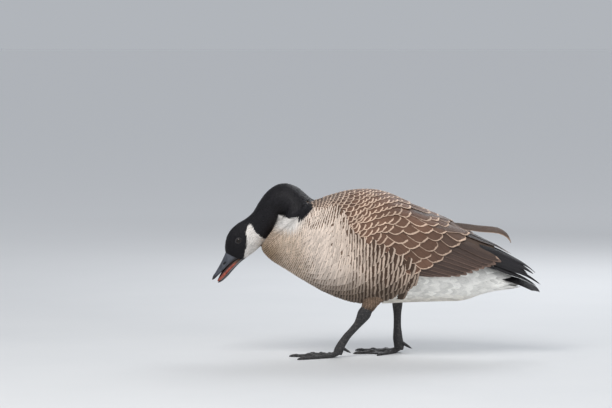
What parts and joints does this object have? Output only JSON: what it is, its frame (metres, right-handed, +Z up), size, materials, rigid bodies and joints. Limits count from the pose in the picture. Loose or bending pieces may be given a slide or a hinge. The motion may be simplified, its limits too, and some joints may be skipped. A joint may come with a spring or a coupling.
{
  "type": "canada goose",
  "caption": "Life-size Canada goose standing with its neck arched, head lowered and bill a little open, wings folded.",
  "frame": {"origin": "under the middle of the bird's box, on the floor the feet stand on", "axes": "the bird faces -X, its left side is towards -Y, +Z is up"},
  "size_m": [0.658, 0.1992, 0.344],
  "materials": {
    "black_feather": "black feather, soft sheen",
    "body_feather": "buff and brown body feather",
    "wing_feather": "brown wing feather with pale edges",
    "tail_feather": "black tail feather",
    "leg_skin": "scaled dark skin",
    "bill_horn": "dark horn of the bill and claws",
    "mouth": "moist red lining of the mouth",
    "eye": "glossy dark brown eye"
  },
  "bodies": {
    "root": {"head": "black_feather", "neck": "black_feather", "torso": "body_feather", "wing_left": "wing_feather", "wing_right": "wing_feather", "tail": "tail_feather", "bill_upper": "bill_horn", "bill_lower": "bill_horn", "tongue": "mouth", "eye_left": "eye", "eye_right": "eye", "thigh_left": "body_feather", "thigh_right": "body_feather", "leg_left": "leg_skin", "leg_right": "leg_skin", "foot_left": "leg_skin", "foot_right": "leg_skin", "claw_inner_left": "bill_horn", "claw_middle_left": "bill_horn", "claw_outer_left": "bill_horn", "claw_hind_left": "bill_horn", "claw_inner_right": "bill_horn", "claw_middle_right": "bill_horn", "claw_outer_right": "bill_horn", "claw_hind_right": "bill_horn"}
  },
  "joints": []
}
